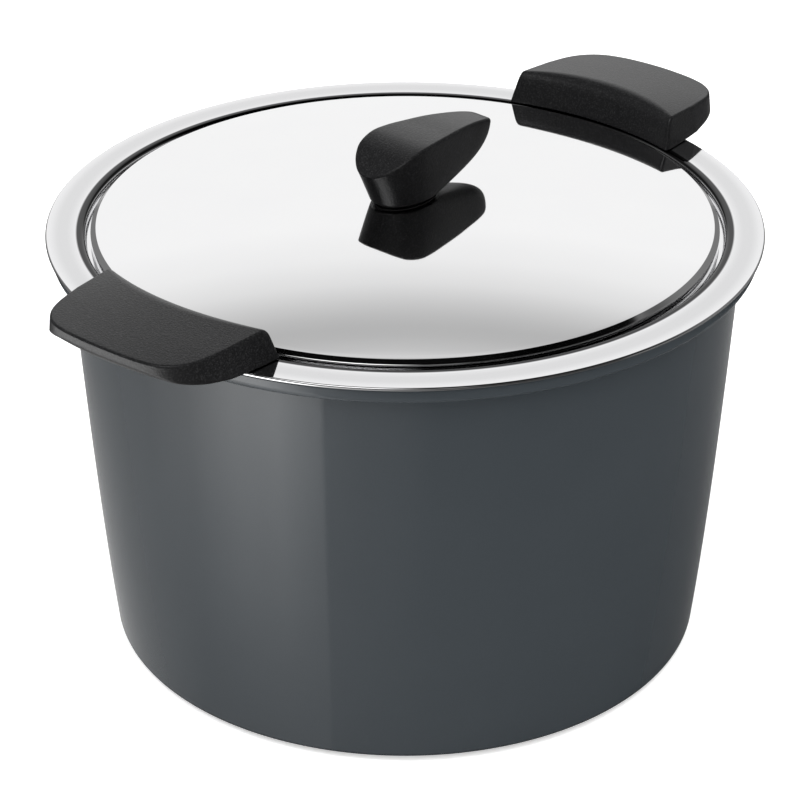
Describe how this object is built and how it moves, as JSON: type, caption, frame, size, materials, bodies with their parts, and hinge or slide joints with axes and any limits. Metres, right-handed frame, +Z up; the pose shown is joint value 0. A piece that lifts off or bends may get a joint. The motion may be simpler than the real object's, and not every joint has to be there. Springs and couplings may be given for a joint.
{
  "type": "thermal cooker",
  "caption": "Round serving pot of steel hung by its wide rim in an insulating outer shell, with curved grips on the rim and a domed double-walled lid with a leaf-shaped knob.",
  "frame": {"origin": "centre of the underside of the foot ring, on the table", "axes": "+Z up along the pot's axis; the grips lie along X; +Y is the back"},
  "size_m": [0.3172, 0.263, 0.1962],
  "materials": {
    "melamine": "glossy moulded melamine, slate grey",
    "foot_rubber": "matte black rubber",
    "mirror_steel": "mirror-polished stainless steel",
    "satin_steel": "satin stainless steel",
    "core_aluminium": "plain machined aluminium",
    "phenolic": "black phenolic with a fine grain",
    "insert_brass": "plain turned brass",
    "seal_rubber": "dark silicone rubber"
  },
  "bodies": {
    "shell": {"outer_shell": "melamine", "foot_ring": "foot_rubber"},
    "pot": {"pot_body": "mirror_steel", "base_core": "core_aluminium", "base_cap": "satin_steel", "handle_right": "phenolic", "handle_left": "phenolic", "handle_screw_right_front": "satin_steel", "handle_washer_right_front": "satin_steel", "handle_insert_right_front": "insert_brass", "handle_screw_right_back": "satin_steel", "handle_washer_right_back": "satin_steel", "handle_insert_right_back": "insert_brass", "handle_screw_left_back": "satin_steel", "handle_washer_left_back": "satin_steel", "handle_insert_left_back": "insert_brass", "handle_screw_left_front": "satin_steel", "handle_washer_left_front": "satin_steel", "handle_insert_left_front": "insert_brass"},
    "lid": {"lid_outer_skin": "mirror_steel", "lid_inner_skin": "satin_steel", "lid_seal": "seal_rubber", "knob_washer": "satin_steel", "knob_screw": "satin_steel", "knob": "phenolic", "knob_pad": "seal_rubber", "knob_insert": "insert_brass"}
  },
  "joints": [
    {"name": "pot_lift", "type": "slide", "parent": "shell", "child": "pot", "axis": [0, 0, 1], "range_m": [0, 0.17]},
    {"name": "lid_lift", "type": "slide", "parent": "pot", "child": "lid", "axis": [0, 0, 1], "range_m": [0, 0.06]}
  ]
}
